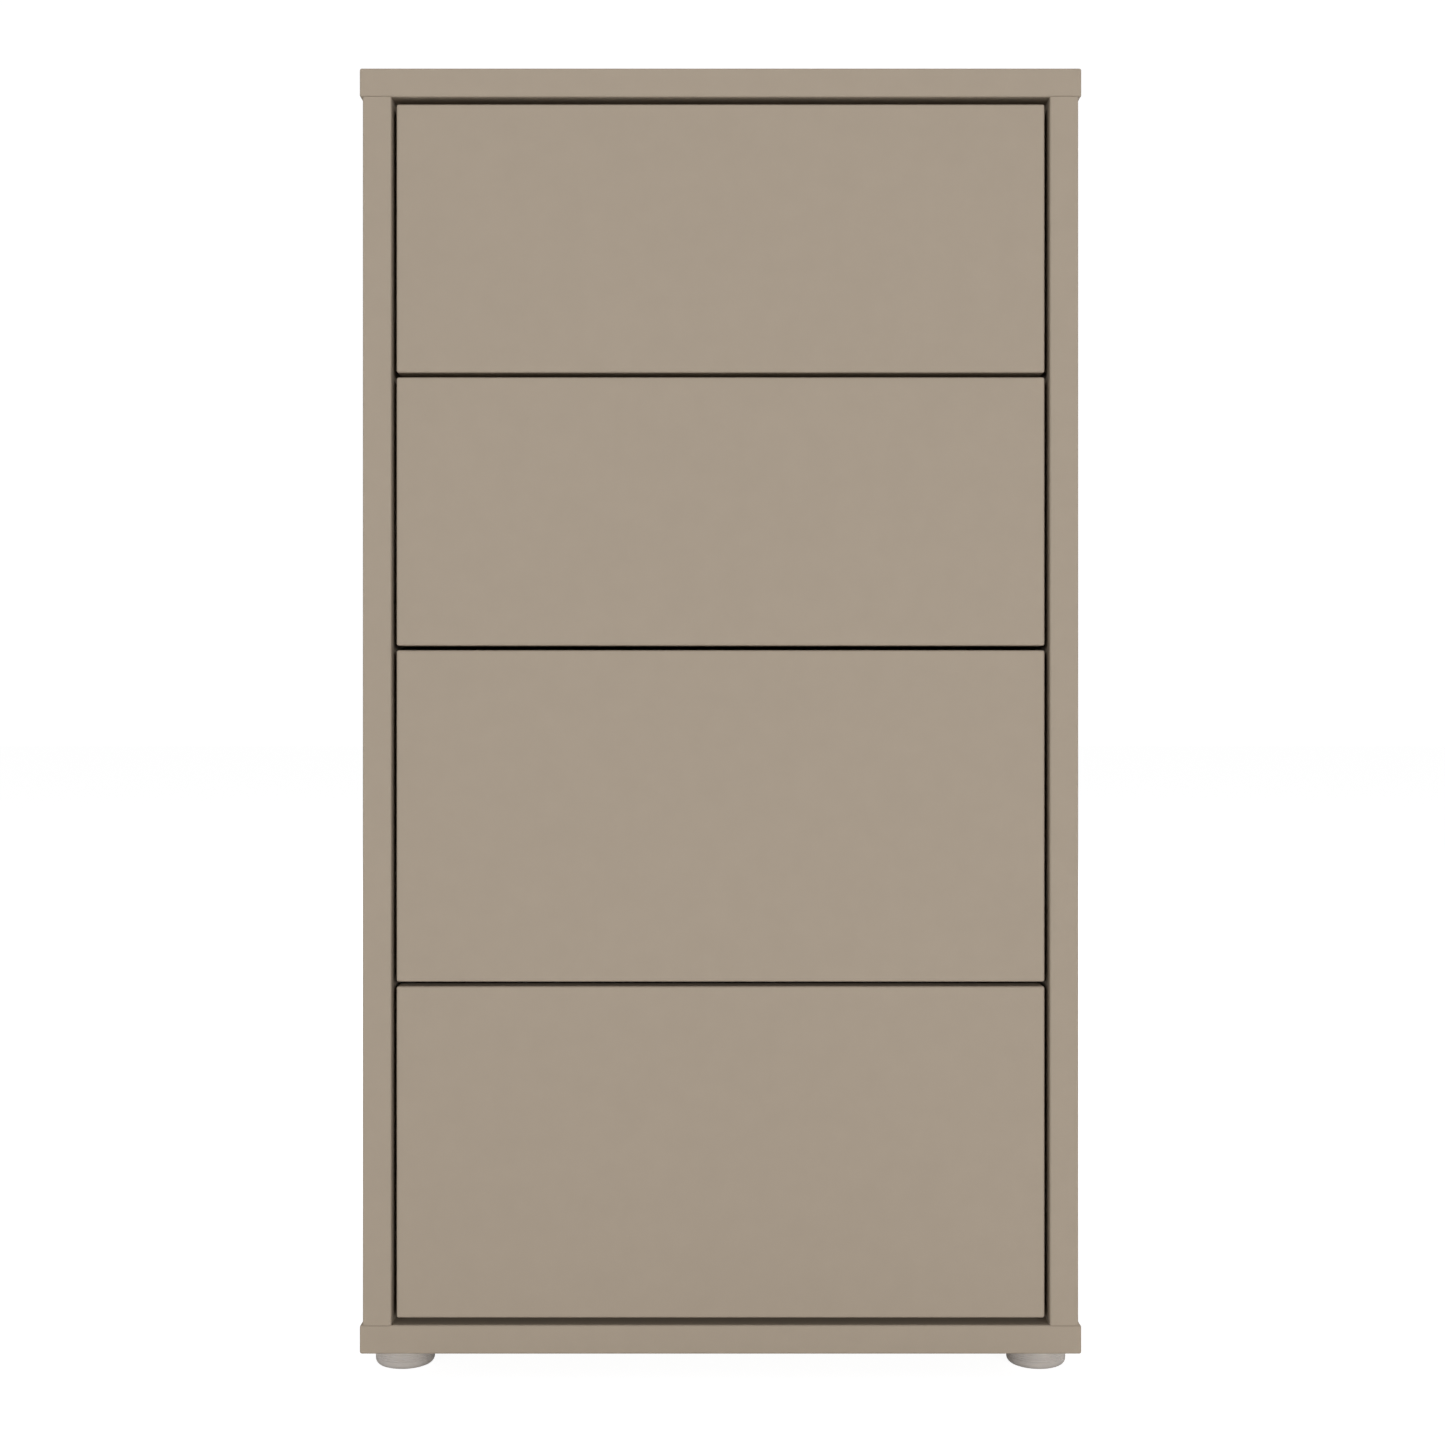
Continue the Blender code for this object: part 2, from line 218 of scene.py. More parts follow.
def facing(direction):
    """Turns +Z to the given direction."""
    return Vector(direction).to_track_quat("Z", "Y").to_matrix().to_4x4()


def disc(radius, low, high, steps=DISC_STEPS):
    """A short cylinder around the Z axis, from low to high."""
    bm = bmesh.new()
    bmesh.ops.create_cone(
        bm, cap_ends=True, segments=steps, radius1=radius, radius2=radius, depth=high - low
    )
    bmesh.ops.translate(bm, vec=(0, 0, (low + high) / 2), verts=bm.verts)
    return bm


def to_mesh(bm, name):
    mesh = bpy.data.meshes.new(name)
    bm.to_mesh(mesh)
    bm.free()
    return mesh


def repeated(mesh, spots, name):
    """One mesh of copies of a part drawn along +Z, each placed at a spot and facing its direction."""
    bm = bmesh.new()
    for place, direction in spots:
        before = len(bm.verts)
        bm.from_mesh(mesh)
        bm.verts.ensure_lookup_table()
        turned = Matrix.Translation(place) @ facing(direction)
        bmesh.ops.transform(bm, matrix=turned, verts=bm.verts[before:])
    return to_mesh(bm, name)


def arc(centre, radius, start, end, steps):
    """Points along an arc, its angles in degrees."""
    points = []
    for step in range(steps + 1):
        turn = math.radians(start + (end - start) * step / steps)
        points.append((centre[0] + radius * math.cos(turn), centre[1] + radius * math.sin(turn)))
    return points


def carved(bm, cutters, name, sheet=0.0):
    """The mesh of bm, given a sheet's thickness if it is one, after every cutter has been cut from it."""
    piece = bpy.data.objects.new(name, to_mesh(bm, name))
    bpy.context.collection.objects.link(piece)
    if sheet:
        solid = piece.modifiers.new("sheet", "SOLIDIFY")
        solid.thickness = sheet
        solid.offset = 0.0
        solid.use_even_offset = True
    helpers = []
    for cutter in cutters:
        helper = bpy.data.objects.new(f"{name}_cutter", to_mesh(cutter, "cutter"))
        bpy.context.collection.objects.link(helper)
        modifier = piece.modifiers.new("cut", "BOOLEAN")
        modifier.operation = "DIFFERENCE"
        modifier.solver = "EXACT"
        modifier.object = helper
        helpers.append(helper)
    graph = bpy.context.evaluated_depsgraph_get()
    result = bpy.data.meshes.new_from_object(piece.evaluated_get(graph))
    for used in [piece] + helpers:
        mesh = used.data
        bpy.data.objects.remove(used)
        bpy.data.meshes.remove(mesh)
    return result


def finish_piece(name, mesh, body, material, replaced=(), smooth=35.0):
    """Names, shades and files a piece: its finish, the body it rides on and the nodes it stands for."""
    mesh.name = name
    mesh.materials.clear()
    mesh.materials.append(material)
    mesh.shade_smooth()
    mesh.set_sharp_from_angle(angle=math.radians(smooth))
    piece = bpy.data.objects.new(name, mesh)
    bpy.context.collection.objects.link(piece)
    weighted = piece.modifiers.new("even_shading", "WEIGHTED_NORMAL")
    weighted.keep_sharp = True
    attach(piece, body)
    if replaced:
        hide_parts(*replaced)


# Shader groups ---------------------------------------------------------------------------------


def start_group(name, inputs, outputs):
    group = bpy.data.node_groups.new(name, "ShaderNodeTree")
    for label, kind, value in inputs:
        socket = group.interface.new_socket(label, in_out="INPUT", socket_type=f"NodeSocket{kind}")
        if value is not None:
            socket.default_value = value
    for label, kind in outputs:
        group.interface.new_socket(label, in_out="OUTPUT", socket_type=f"NodeSocket{kind}")
    entry = group.nodes.new("NodeGroupInput")
    leave = group.nodes.new("NodeGroupOutput")
    return group, entry, leave


def noise(tree, vector, scale, detail, roughness=0.5):
    node = tree.nodes.new("ShaderNodeTexNoise")
    node.inputs["Detail"].default_value = detail
    node.inputs["Roughness"].default_value = roughness
    tree.links.new(vector, node.inputs["Vector"])
    if isinstance(scale, (int, float)):
        node.inputs["Scale"].default_value = scale
    else:
        tree.links.new(scale, node.inputs["Scale"])
    return node.outputs["Fac"]


def sum_of(tree, operation, first, second):
    node = tree.nodes.new("ShaderNodeMath")
    node.operation = operation
    for socket, value in zip(node.inputs, (first, second)):
        if isinstance(value, (int, float)):
            socket.default_value = value
        else:
            tree.links.new(value, socket)
    return node.outputs["Value"]


def stretched(tree, vector, scale):
    node = tree.nodes.new("ShaderNodeMapping")
    node.inputs["Scale"].default_value = scale
    tree.links.new(vector, node.inputs["Vector"])
    return node.outputs["Vector"]


def make_tone_drift():
    """Slow, faint changes of tone between two colours, with patches and a speckle over them."""
    group, entry, leave = start_group(
        "tone_drift",
        (
            ("Vector", "Vector", None),
            ("Light", "Color", None),
            ("Dark", "Color", None),
            ("Cloud Scale", "Float", 9.0),
            ("Patch Scale", "Float", 65.0),
            ("Patch", "Float", 2.7),
            ("Speckle Scale", "Float", 600.0),
            ("Speckle", "Float", 0.3),
        ),
        (("Color", "Color"),),
    )
    cloud = noise(group, entry.outputs["Vector"], entry.outputs["Cloud Scale"], detail=4.0, roughness=0.55)
    speckle = noise(group, entry.outputs["Vector"], entry.outputs["Speckle Scale"], detail=2.0)
    patch = noise(group, entry.outputs["Vector"], entry.outputs["Patch Scale"], detail=4.0, roughness=0.6)
    mask = cloud
    for layer, strength in ((patch, "Patch"), (speckle, "Speckle")):
        centred = sum_of(group, "SUBTRACT", layer, 0.5)
        weighed = sum_of(group, "MULTIPLY", centred, entry.outputs[strength])
        mask = sum_of(group, "ADD", mask, weighed)
    mix = group.nodes.new("ShaderNodeMix")
    mix.data_type = "RGBA"
    group.links.new(mask, mix.inputs["Factor"])
    group.links.new(entry.outputs["Light"], mix.inputs["A"])
    group.links.new(entry.outputs["Dark"], mix.inputs["B"])
    group.links.new(mix.outputs["Result"], leave.inputs["Color"])
    return group


def make_fine_grain():
    """The pores of a matt foil or of moulded plastic: a height, and the same as a gloss change."""
    group, entry, leave = start_group(
        "fine_grain",
        (
            ("Vector", "Vector", None),
            ("Scale", "Float", 1400.0),
            ("Roughness", "Float", 0.5),
            ("Spread", "Float", 0.08),
        ),
        (("Height", "Float"), ("Roughness", "Float")),
    )
    fine = noise(group, entry.outputs["Vector"], entry.outputs["Scale"], detail=3.0, roughness=0.6)
    wide_scale = sum_of(group, "MULTIPLY", entry.outputs["Scale"], 0.11)
    wide = noise(group, entry.outputs["Vector"], wide_scale, detail=2.0)
    height = sum_of(group, "ADD", fine, sum_of(group, "MULTIPLY", wide, 0.6))
    gloss = sum_of(group, "MULTIPLY", sum_of(group, "SUBTRACT", wide, 0.5), entry.outputs["Spread"])
    group.links.new(height, leave.inputs["Height"])
    group.links.new(
        sum_of(group, "ADD", gloss, entry.outputs["Roughness"]), leave.inputs["Roughness"]
    )
    return group


def make_linen_print():
    """A printed linen pattern: crossing threads of uneven strength."""
    group, entry, leave = start_group(
        "linen_print",
        (("Vector", "Vector", None), ("Thread Scale", "Float", 500.0)),
        (("Mask", "Float"), ("Height", "Float")),
    )
    threads = None
    for stretch in ((1.0, 0.04, 0.04), (0.04, 1.0, 0.04), (0.04, 0.04, 1.0)):
        run = noise(
            group,
            stretched(group, entry.outputs["Vector"], stretch),
            entry.outputs["Thread Scale"],
            detail=1.0,
        )
        threads = run if threads is None else sum_of(group, "ADD", threads, run)
    mask = sum_of(group, "MULTIPLY", threads, 1 / 3)
    group.links.new(mask, leave.inputs["Mask"])
    group.links.new(mask, leave.inputs["Height"])
    return group


def make_rolled_lines():
    """Fine lines along the length of rolled sheet steel, with a cloudy plating over them."""
    group, entry, leave = start_group(
        "rolled_lines",
        (("Vector", "Vector", None), ("Roughness", "Float", 0.3)),
        (("Height", "Float"), ("Roughness", "Float"), ("Mask", "Float")),
    )
    along = stretched(group, entry.outputs["Vector"], (1.0, 0.02, 1.0))
    lines = noise(group, along, 2500.0, detail=3.0, roughness=0.6)
    cloud = noise(group, entry.outputs["Vector"], 60.0, detail=3.0)
    spread = sum_of(group, "MULTIPLY", sum_of(group, "SUBTRACT", cloud, 0.5), 0.22)
    group.links.new(lines, leave.inputs["Height"])
    group.links.new(
        sum_of(group, "ADD", spread, entry.outputs["Roughness"]), leave.inputs["Roughness"]
    )
    group.links.new(cloud, leave.inputs["Mask"])
    return group


# Materials -------------------------------------------------------------------------------------


def start_material(name, **fixed):
    """A material with its shader's even values set, and its Object coordinates."""
    material = bpy.data.materials.new(name)
    material.use_nodes = True
    tree = material.node_tree
    shader = tree.nodes["Principled BSDF"]
    for label, value in fixed.items():
        shader.inputs[label.replace("_", " ")].default_value = value
    place = tree.nodes.new("ShaderNodeTexCoord").outputs["Object"]
    return material, tree, shader, place


def use_group(tree, group, vector, **values):
    node = tree.nodes.new("ShaderNodeGroup")
    node.node_tree = group
    tree.links.new(vector, node.inputs["Vector"])
    for label, value in values.items():
        node.inputs[label.replace("_", " ")].default_value = value
    return node.outputs


def bump(tree, shader, height, strength, distance):
    node = tree.nodes.new("ShaderNodeBump")
    node.inputs["Strength"].default_value = strength
    node.inputs["Distance"].default_value = distance
    tree.links.new(height, node.inputs["Height"])
    tree.links.new(node.outputs["Normal"], shader.inputs["Normal"])


def shade(colour, factor):
    return tuple(channel * factor for channel in colour) + (1.0,)


def foil_material(name, colour, groups, contrast=0.012, roughness=0.52, grain=1400.0):
    """Matt foil or lacquer on board."""
    material, tree, shader, place = start_material(name, Specular_IOR_Level=0.10)
    tone = use_group(
        tree,
        groups["tone"],
        place,
        Light=shade(colour, 1 + contrast),
        Dark=shade(colour, 1 - contrast),
        Speckle=0.5,
    )
    grain_out = use_group(
        tree, groups["grain"], place, Scale=grain, Roughness=roughness, Spread=0.10
    )
    tree.links.new(tone["Color"], shader.inputs["Base Color"])
    tree.links.new(grain_out["Roughness"], shader.inputs["Roughness"])
    bump(tree, shader, grain_out["Height"], strength=0.25, distance=0.00005)
    return material


def linen_material(name, light, dark, groups):
    """Light foil with a printed linen pattern, inside the drawers."""
    material, tree, shader, place = start_material(name, Specular_IOR_Level=0.35, Roughness=0.5)
    linen = use_group(tree, groups["linen"], place, Thread_Scale=900.0)
    ramp = tree.nodes.new("ShaderNodeMapRange")
    ramp.inputs["From Min"].default_value = 0.40
    ramp.inputs["From Max"].default_value = 0.60
    mix = tree.nodes.new("ShaderNodeMix")
    mix.data_type = "RGBA"
    mix.inputs["A"].default_value = (*light, 1.0)
    mix.inputs["B"].default_value = (*dark, 1.0)
    tree.links.new(linen["Mask"], ramp.inputs["Value"])
    tree.links.new(ramp.outputs["Result"], mix.inputs["Factor"])
    tree.links.new(mix.outputs["Result"], shader.inputs["Base Color"])
    bump(tree, shader, linen["Height"], strength=0.3, distance=0.00008)
    return material


def steel_material(name, bright, dull, groups, roughness=0.30):
    """Zinc-plated sheet steel."""
    material, tree, shader, place = start_material(name, Metallic=1.0)
    rolled = use_group(tree, groups["rolled"], place, Roughness=roughness)
    mix = tree.nodes.new("ShaderNodeMix")
    mix.data_type = "RGBA"
    mix.inputs["A"].default_value = (*bright, 1.0)
    mix.inputs["B"].default_value = (*dull, 1.0)
    tree.links.new(rolled["Mask"], mix.inputs["Factor"])
    tree.links.new(mix.outputs["Result"], shader.inputs["Base Color"])
    tree.links.new(rolled["Roughness"], shader.inputs["Roughness"])
    bump(tree, shader, rolled["Height"], strength=0.2, distance=0.00003)
    return material


def plastic_material(name, colour, groups, roughness, **fixed):
    """Moulded plastic with a fine eroded texture."""
    material, tree, shader, place = start_material(name, **fixed)
    tone = use_group(
        tree,
        groups["tone"],
        place,
        Light=shade(colour, 1.04),
        Dark=shade(colour, 0.96),
        Cloud_Scale=60.0,
    )
    grain = use_group(tree, groups["grain"], place, Scale=2200.0, Roughness=roughness, Spread=0.1)
    tree.links.new(tone["Color"], shader.inputs["Base Color"])
    tree.links.new(grain["Roughness"], shader.inputs["Roughness"])
    bump(tree, shader, grain["Height"], strength=0.2, distance=0.00005)
    return material


def make_finishes():
    groups = {
        "tone": make_tone_drift(),
        "grain": make_fine_grain(),
        "linen": make_linen_print(),
        "rolled": make_rolled_lines(),
    }
    pale = (0.560, 0.535, 0.500)
    return {
        "board": foil_material("taupe_foil", (0.382, 0.319, 0.251), groups),
        "back": foil_material(
            "taupe_lacquer",
            (0.368, 0.306, 0.240),
            groups,
            contrast=0.025,
            roughness=0.42,
            grain=700.0,
        ),
        "box": linen_material("linen_foil", pale, (0.500, 0.475, 0.440), groups),
        "bottom": foil_material(
            "pale_lacquer", pale, groups, contrast=0.02, roughness=0.45, grain=700.0
        ),
        "steel": steel_material("zinc_plate", (0.66, 0.67, 0.69), (0.56, 0.58, 0.60), groups),
        "fitting": steel_material(
            "zinc_casting", (0.50, 0.51, 0.52), (0.40, 0.41, 0.43), groups, roughness=0.42
        ),
        "ball": steel_material(
            "ball_steel", (0.75, 0.76, 0.77), (0.70, 0.71, 0.72), groups, roughness=0.12
        ),
        "latch": plastic_material(
            "latch_plastic", (0.045, 0.045, 0.050), groups, roughness=0.45
        ),
        "cage": plastic_material("cage_plastic", (0.55, 0.53, 0.48), groups, roughness=0.40),
        "foot": plastic_material(
            "foot_plastic",
            (0.515, 0.476, 0.443),
            groups,
            roughness=0.42,
            Subsurface_Weight=0.25,
            Subsurface_Radius=(0.004, 0.0035, 0.003),
            Subsurface_Scale=1.0,
        ),
    }


# Boards ----------------------------------------------------------------------------------------


def grown_box(node, margin):
    low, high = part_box(node)
    grow = Vector((margin, margin, margin))
    return block(Vector(low) - grow, Vector(high) + grow)


def make_board(
    node, body, material, radius, square_ends=None, closed=(), held=None, pockets=()
):
    """A board with rounded edges, a groove for the thin board it holds, and sunk pockets.

    Where square_ends names an axis, the board's two ends on it stay sharp, and the closed ones
    ("low", "high") reach across the joint to the board that they are glued to.
    """
    low, high = (list(corner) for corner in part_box(node))
    if "low" in closed:
        low[square_ends] -= JOINT
    if "high" in closed:
        high[square_ends] += JOINT
    bm = block(low, high)
    edges = bm.edges[:] if square_ends is None else edges_along(bm, square_ends)
    round_edges(bm, edges, radius)
    cutters = [grown_box(held, GROOVE_CLEARANCE)] if held else []
    for place, direction, pocket_radius in pockets:
        cutter = disc(pocket_radius, -POCKET_DEPTH, POCKET_DEPTH, FINE_DISC_STEPS)
        turned = Matrix.Translation(place) @ facing(direction)
        bmesh.ops.transform(cutter, matrix=turned, verts=cutter.verts)
        cutters.append(cutter)
    mesh = carved(bm, cutters, node)
    finish_piece(f"{node}_board", mesh, body, material, (node,))


def cam_head():
    """A cam fitting: a flat zinc disc with a rounded rim and a cross slot, its face at z 0."""
    bm = disc(CAM_RADIUS, -POCKET_DEPTH, -POCKET_CLEARANCE, FINE_DISC_STEPS)
    rim = [edge for edge in bm.edges if all(vert.co.z > -POCKET_DEPTH / 2 for vert in edge.verts)]
    round_edges(bm, rim, CAM_ROUNDING, steps=2)
    reach, half, floor = CAM_RADIUS * CAM_SLOT_REACH, CAM_SLOT_HALF, CAM_SLOT_FLOOR
    slots = [
        block((-reach, -half, floor), (reach, half, POCKET_DEPTH)),
        block((-half, -reach, floor), (half, reach, POCKET_DEPTH)),
    ]
    return carved(bm, slots, "cam_head")


def screw_head(radius):
    """A flat screw head with a cross recess, its face at z 0."""
    bm = disc(radius, -HEAD_HEIGHT, 0.0)
    rim = [edge for edge in bm.edges if all(vert.co.z > -HEAD_HEIGHT / 2 for vert in edge.verts)]
    round_edges(bm, rim, SCREW_ROUNDING, steps=2)
    reach, half, floor = radius * RECESS_REACH, radius * RECESS_HALF, -HEAD_HEIGHT * RECESS_DEPTH
    recess = [
        block((-reach, -half, floor), (reach, half, HEAD_HEIGHT)),
        block((-half, -reach, floor), (half, reach, HEAD_HEIGHT)),
    ]
    return carved(bm, recess, "screw_head")


def inner_face(node, sign):
    """The x of the face that a left (-1) or right (1) board turns towards the middle."""
    low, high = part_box(node)
    return high[0] if sign < 0 else low[0]


def carcass_cam_spots(side, sign):
    """Where the cams sit in the inner face of a side panel, near its four corners."""
    node = f"side_panel_{side}"
    low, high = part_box(node)
    return [
        ((inner_face(node, sign), y, z), (-sign, 0, 0))
        for y in (low[1] + CARCASS_CAM_FROM_EDGE, high[1] - CARCASS_CAM_FROM_EDGE)
        for z in (low[2] + CAM_FROM_END, high[2] - CAM_FROM_END)
    ]


def drawer_cam_spots(number, side, sign):
    """Where the cams that pull the front tight sit in the inner face of a drawer side."""
    node = f"drawer_{number}_side_{side}"
    low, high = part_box(node)
    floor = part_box(f"drawer_{number}_bottom")[1][2]
    return [
        ((inner_face(node, sign), low[1] + CAM_FROM_END, z), (-sign, 0, 0))
        for z in (floor + DRAWER_CAM_MARGIN, high[2] - DRAWER_CAM_MARGIN)
    ]


def back_screw_spots(number, side, sign):
    """Where the screws into the drawer's back sit in the outer face of a drawer side."""
    low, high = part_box(f"drawer_{number}_side_{side}")
    back_low, back_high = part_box(f"drawer_{number}_back")
    outer = low[0] if sign < 0 else high[0]
    y = (back_low[1] + back_high[1]) / 2
    return [
        ((outer, y, z), (sign, 0, 0))
        for z in (low[2] + BACK_SCREW_RISE, high[2] - BACK_SCREW_DROP)
    ]


def pockets_for(spots, radius):
    return [(place, direction, radius + POCKET_CLEARANCE) for place, direction in spots]


def make_carcass(finishes, parts):
    board = finishes["board"]
    make_board("top_panel", "carcass", board, BOARD_RADIUS, held="back_panel")
    make_board("bottom_panel", "carcass", board, BOARD_RADIUS, held="back_panel")
    for side, sign in SIDES:
        cams = carcass_cam_spots(side, sign)
        make_board(
            f"side_panel_{side}",
            "carcass",
            board,
            BOARD_RADIUS,
            square_ends=2,
            closed=("low", "high"),
            held="back_panel",
            pockets=pockets_for(cams, CAM_RADIUS),
        )
        mesh = repeated(parts["cam"], cams, "cams")
        finish_piece(f"side_panel_{side}_cams", mesh, "carcass", finishes["fitting"])
    make_board("back_panel", "carcass", finishes["back"], THIN_RADIUS)


def make_drawer_boards(number, finishes, parts):
    name = f"drawer_{number}"
    bottom = f"{name}_bottom"
    make_board(f"{name}_front", name, finishes["board"], FRONT_RADIUS, held=bottom)
    cams, screws = [], []
    for side, sign in SIDES:
        side_cams = drawer_cam_spots(number, side, sign)
        side_screws = back_screw_spots(number, side, sign)
        pockets = pockets_for(side_cams, CAM_RADIUS) + pockets_for(side_screws, SCREW_RADIUS)
        node = f"{name}_side_{side}"
        make_board(
            node,
            name,
            finishes["box"],
            BOX_RADIUS,
            square_ends=1,
            closed=("low",),
            held=bottom,
            pockets=pockets,
        )
        cams += side_cams
        screws += side_screws
    make_board(
        f"{name}_back",
        name,
        finishes["box"],
        BOX_RADIUS,
        square_ends=0,
        closed=("low", "high"),
    )
    make_board(bottom, name, finishes["bottom"], THIN_RADIUS)

    back_low, back_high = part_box(f"{name}_back")
    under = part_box(bottom)[0][2] - HEAD_HEIGHT
    middle = (back_low[1] + back_high[1]) / 2
    bottom_screws = [
        ((x, middle, under), (0, 0, -1)) for x in (-BOTTOM_SCREW_HALF_SPAN, 0, BOTTOM_SCREW_HALF_SPAN)
    ]
    for label, part, spots, finish in (
        ("cams", "cam", cams, "fitting"),
        ("back_screws", "screw", screws, "fitting"),
        ("bottom_screws", "small_screw", bottom_screws, "steel"),
    ):
        mesh = repeated(parts[part], spots, label)
        finish_piece(f"{name}_{label}", mesh, name, finishes[finish])


# Slides ----------------------------------------------------------------------------------------


def both_halves(upper):
    """A channel's whole path, from its upper half drawn from mouth to web."""
    return upper + [(depth, -height) for depth, height in reversed(upper)]


def cabinet_member_path(web, half, ball_height):
    """Web flat on the panel, flanges that curl round the outer balls."""
    return both_halves(
        arc((OUTER_BALL_DEPTH, ball_height), BALL_RACE_RADIUS, LIP_ANGLE, 90, BALL_RACE_STEPS)
        + arc((web + BEND_RADIUS, half - BEND_RADIUS), BEND_RADIUS, 90, 180, BEND_STEPS)
    )


def middle_member_path(web, half, ball_height):
    """Flanges under the outer balls that curl round the inner ones."""
    return both_halves(
        arc((INNER_BALL_DEPTH, ball_height), BALL_RACE_RADIUS, LIP_ANGLE, 90, BALL_RACE_STEPS)
        + arc((web + BEND_RADIUS, half - BEND_RADIUS), BEND_RADIUS, 90, 180, BEND_STEPS)
    )


def drawer_member_path(web, half, mouth):
    """Web flat on the drawer, plain flanges that reach back under the inner balls."""
    return both_halves(
        [(mouth, half)]
        + arc((web - BEND_RADIUS, half - BEND_RADIUS), BEND_RADIUS, 90, 0, BEND_STEPS)
    )


def cage_path(web, ball_height, mouth):
    return both_halves(
        [(mouth, ball_height)]
        + arc((web + BEND_RADIUS, ball_height - BEND_RADIUS), BEND_RADIUS, 90, 180, BEND_STEPS)
    )


class Slide:
    """One slide's own frame: depth runs from the panel's face to the drawer, height from its axis."""

    def __init__(self, number, side, sign):
        self.name = f"slide_{number}_{side}"
        self.inward = -sign
        self.face = inner_face(f"side_panel_{side}", sign)
        low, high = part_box(f"{self.name}_cabinet_member")
        self.start = low[1]
        self.axis = (low[2] + high[2]) / 2

    def at(self, depth, y, height):
        return (self.face + self.inward * depth, y, self.axis + height)

    def measures(self, member):
        """The (nearest depth, farthest depth, half height, first y, last y) of a member's solid."""
        low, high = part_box(f"{self.name}_{member}")
        depths = sorted(abs(x - self.face) for x in (low[0], high[0]))
        return depths[0], depths[1], (high[2] - low[2]) / 2, low[1], high[1]

    def strip(self, path, first, last):
        """An open sheet that follows a path of (depth, height) and runs from first to last along y."""
        bm = bmesh.new()
        verts = [bm.verts.new(self.at(depth, first, height)) for depth, height in path]
        edges = [bm.edges.new(pair) for pair in zip(verts, verts[1:])]
        swept = bmesh.ops.extrude_edge_only(bm, edges=edges)["geom"]
        far = [item for item in swept if isinstance(item, bmesh.types.BMVert)]
        bmesh.ops.translate(bm, vec=(0, last - first, 0), verts=far)
        return bm

    def hole(self, depth, y, radius, stretch=0.0):
        """A round or, with a stretch along y, a long hole through a web."""
        cutter = disc(radius, -2 * STEEL, 2 * STEEL, HOLE_STEPS)
        turned = Matrix.Translation(self.at(depth, y, 0)) @ facing((self.inward, 0, 0))
        bmesh.ops.transform(cutter, matrix=turned, verts=cutter.verts)
        far = [vert for vert in cutter.verts if vert.co.y > y]
        bmesh.ops.translate(cutter, vec=(0, stretch, 0), verts=far)
        return cutter


def make_cage(slide, kind, web, ball_depth, ball_height, mouth, first, finishes, ball):
    """A plastic strip with a row of balls along each edge; it travels with the middle member."""
    last = first + CAGE_LENGTH
    strip = slide.strip(cage_path(web, ball_height, mouth), first, last)
    body = slide.name
    cage = carved(strip, [], "cage", CAGE_SHEET)
    finish_piece(f"{slide.name}_{kind}_cage", cage, body, finishes["cage"])
    pitch = CAGE_LENGTH / CAGE_BALLS
    spots = [
        (slide.at(ball_depth, first + (step + 0.5) * pitch, sign * ball_height), (0, 0, 1))
        for step in range(CAGE_BALLS)
        for sign in (-1, 1)
    ]
    balls = repeated(ball, spots, "balls")
    finish_piece(f"{slide.name}_{kind}_balls", balls, body, finishes["ball"], smooth=180)


